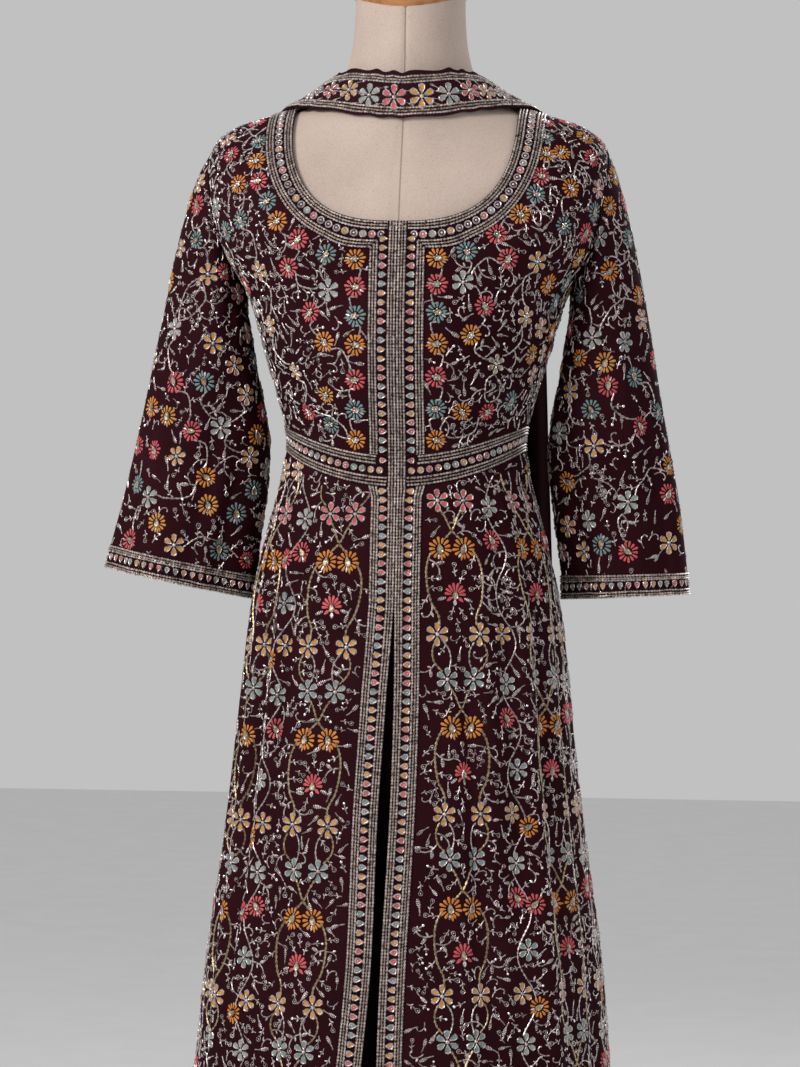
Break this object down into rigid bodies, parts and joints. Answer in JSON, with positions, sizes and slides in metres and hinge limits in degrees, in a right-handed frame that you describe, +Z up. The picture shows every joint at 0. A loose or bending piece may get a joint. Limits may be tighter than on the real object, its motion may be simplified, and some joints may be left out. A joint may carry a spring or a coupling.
{
  "type": "palazzo suit on dress form",
  "caption": "Embroidered long tunic with front slit and flared sleeves over wide palazzo trousers, a scarf folded across the throat, on a limbless linen dress form with stand.",
  "frame": {"origin": "on the floor, at the middle of the underside of the round base, on the pole's axis", "axes": "+Z up, the front of the suit faces -Y, +X to the right as seen from the front"},
  "size_m": [0.565, 0.3833, 1.544],
  "materials": {
    "embroidered_cloth": "matte",
    "zari_border": "satin",
    "palazzo_cloth": "matte",
    "scarf_cloth": "matte",
    "linen": "matte",
    "wood": "satin",
    "steel": "satin",
    "base": "satin"
  },
  "bodies": {
    "root": {"bodice_front_left": "embroidered_cloth", "bodice_front_right": "embroidered_cloth", "bodice_back": "embroidered_cloth", "neck_border_left": "zari_border", "neck_border_right": "zari_border", "neck_border_back": "zari_border", "placket_left": "zari_border", "placket_right": "zari_border", "waistband_front": "zari_border", "waistband_back": "zari_border", "skirt_front_left": "embroidered_cloth", "skirt_front_right": "embroidered_cloth", "skirt_back": "embroidered_cloth", "slit_border_left": "zari_border", "slit_border_right": "zari_border", "sleeve_left": "embroidered_cloth", "sleeve_right": "embroidered_cloth", "cuff_border_left": "zari_border", "cuff_border_right": "zari_border", "palazzo_front_left": "palazzo_cloth", "palazzo_front_right": "palazzo_cloth", "palazzo_back_left": "palazzo_cloth", "palazzo_back_right": "palazzo_cloth", "palazzo_waistband": "palazzo_cloth", "dupatta_neck": "scarf_cloth", "dupatta_tail_left": "scarf_cloth", "dupatta_tail_right": "scarf_cloth", "form_torso": "linen", "form_neck_cap": "wood", "form_pole": "steel", "form_base": "base"}
  },
  "joints": []
}
